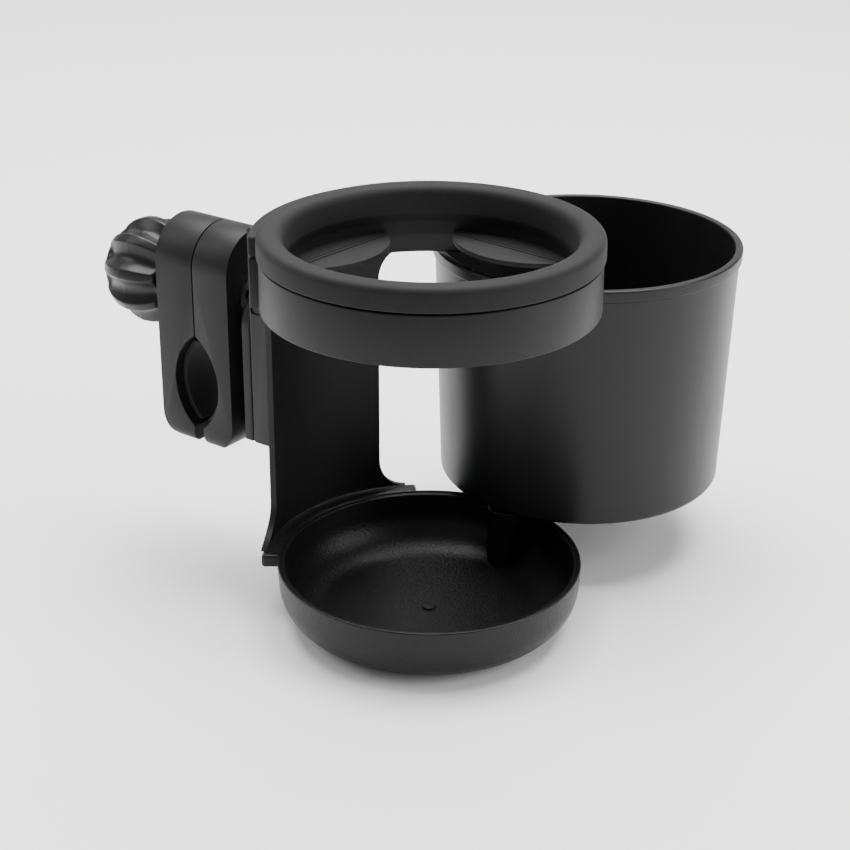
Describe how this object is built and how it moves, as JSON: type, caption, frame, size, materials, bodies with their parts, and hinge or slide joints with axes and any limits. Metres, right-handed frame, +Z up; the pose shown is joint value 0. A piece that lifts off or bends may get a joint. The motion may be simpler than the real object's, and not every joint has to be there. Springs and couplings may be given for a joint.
{
  "type": "tube clamp cup holder",
  "caption": "Screw clamp for a round tube carrying a bottle sling with a rubber-lipped ring and saucer, and a second solid cup that swings out on a post.",
  "frame": {"origin": "middle of the clamp's tube opening", "axes": "+Z up; +Y along the clamped tube; +X from the tube towards the sling's ring"},
  "size_m": [0.1739, 0.1788, 0.1249],
  "materials": {
    "jaw": "fine matte moulded texture",
    "pad": "soft matte",
    "knob": "semi-gloss moulded",
    "frame": "satin moulded",
    "rubber": "matte soft-touch",
    "saucer": "grained semi-gloss",
    "cup": "smooth satin",
    "steel": "zinc plated"
  },
  "bodies": {
    "clamp_base": {"inner_jaw": "jaw", "inner_jaw_pad": "pad", "clamp_nut": "steel", "tongue_rail": "jaw", "tongue_screw_lower": "steel", "tongue_screw_upper": "steel"},
    "outer_jaw": {"outer_jaw": "jaw", "outer_jaw_pad": "pad"},
    "knob": {"knob_grip": "knob", "clamp_screw": "steel", "knob_washer": "steel"},
    "holder": {"holder_frame": "frame", "grip_ring": "rubber", "saucer": "saucer", "pivot_bush": "pad", "pivot_washer": "steel", "pivot_screw": "steel"},
    "flap_1": {"grip_flap_1": "rubber"},
    "flap_2": {"grip_flap_2": "rubber"},
    "flap_3": {"grip_flap_3": "rubber"},
    "flap_4": {"grip_flap_4": "rubber"},
    "swing_cup": {"swing_cup": "cup"}
  },
  "joints": [
    {"name": "jaw_slide", "type": "slide", "parent": "clamp_base", "child": "outer_jaw", "axis": [-1, 0, 0], "range_m": [0, 0.01]},
    {"name": "knob_turn", "type": "hinge", "parent": "outer_jaw", "child": "knob", "pos_m": [-0.028, 0, 0.029], "axis": [-1, 0, 0], "range_deg": [0, 2880]},
    {"name": "holder_lift", "type": "slide", "parent": "clamp_base", "child": "holder", "axis": [0, 0, 1], "range_m": [0, 0.045]},
    {"name": "cup_swing", "type": "hinge", "parent": "holder", "child": "swing_cup", "pos_m": [0.08315, 0.0398, -0.039], "axis": [0, 0, 1], "range_deg": [-180, 0]},
    {"name": "flap_1_bend", "type": "hinge", "parent": "holder", "child": "flap_1", "pos_m": [0.08409, 0.03669, 0.0477], "axis": [0.9969, -0.0785, 0], "range_deg": [0, 45], "stiffness_Nm_per_rad": 0.02},
    {"name": "flap_2_bend", "type": "hinge", "parent": "holder", "child": "flap_2", "pos_m": [0.04451, 0.00289, 0.0477], "axis": [0.0785, 0.9969, 0], "range_deg": [0, 45], "stiffness_Nm_per_rad": 0.02},
    {"name": "flap_3_bend", "type": "hinge", "parent": "holder", "child": "flap_3", "pos_m": [0.07831, -0.03669, 0.0477], "axis": [-0.9969, 0.0785, 0], "range_deg": [0, 45], "stiffness_Nm_per_rad": 0.02},
    {"name": "flap_4_bend", "type": "hinge", "parent": "holder", "child": "flap_4", "pos_m": [0.11789, -0.00289, 0.0477], "axis": [-0.0785, -0.9969, 0], "range_deg": [0, 45], "stiffness_Nm_per_rad": 0.02}
  ],
  "couplings": [
    {"joint": "knob_turn", "follows": "jaw_slide", "rad_per_m": 5026.5}
  ]
}
